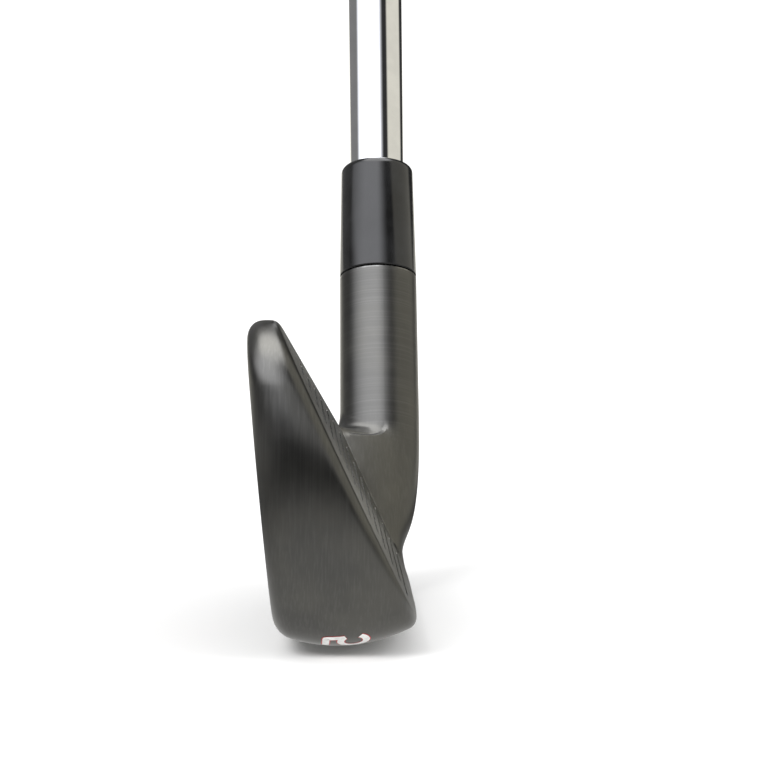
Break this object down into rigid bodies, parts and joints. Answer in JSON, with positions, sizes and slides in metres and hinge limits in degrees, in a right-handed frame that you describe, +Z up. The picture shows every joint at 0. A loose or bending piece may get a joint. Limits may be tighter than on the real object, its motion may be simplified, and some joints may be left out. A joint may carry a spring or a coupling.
{
  "type": "iron golf club",
  "caption": "Mid iron golf club with a black satin forged cavity-back head, gloss black ferrule, stepped chrome steel shaft and rubber grip.",
  "frame": {"origin": "on the sole's lowest flat, where the club touches the ground at address", "axes": "+X towards the target, +Y from the toe to the heel and on up the leaning shaft, +Z up"},
  "size_m": [0.0381, 0.535, 0.8594],
  "materials": {
    "black_satin_steel": "satin black finish over brushed forged steel",
    "tungsten": "bare sintered tungsten, dull grey",
    "damper_elastomer": "matte black elastomer",
    "foam_tape": "grey foam tape",
    "badge_metal": "brushed, dark anodised",
    "ferrule_plastic": "gloss black, polished",
    "chrome_plate": "mirror chrome plate",
    "brass": "turned",
    "band_film": "thin dark film",
    "grip_tape_paper": "buff double-sided tape",
    "grip_rubber": "matte black, moulded texture",
    "cap_rubber": "matte black, moulded"
  },
  "bodies": {
    "root": {"head": "black_satin_steel", "toe_weight": "tungsten", "cavity_damper": "damper_elastomer", "badge_pad": "foam_tape", "cavity_badge": "badge_metal", "ferrule": "ferrule_plastic", "shaft": "chrome_plate", "tip_weight": "brass", "shaft_band": "band_film", "grip_tape": "grip_tape_paper", "grip": "grip_rubber", "grip_cap": "cap_rubber"}
  },
  "joints": []
}
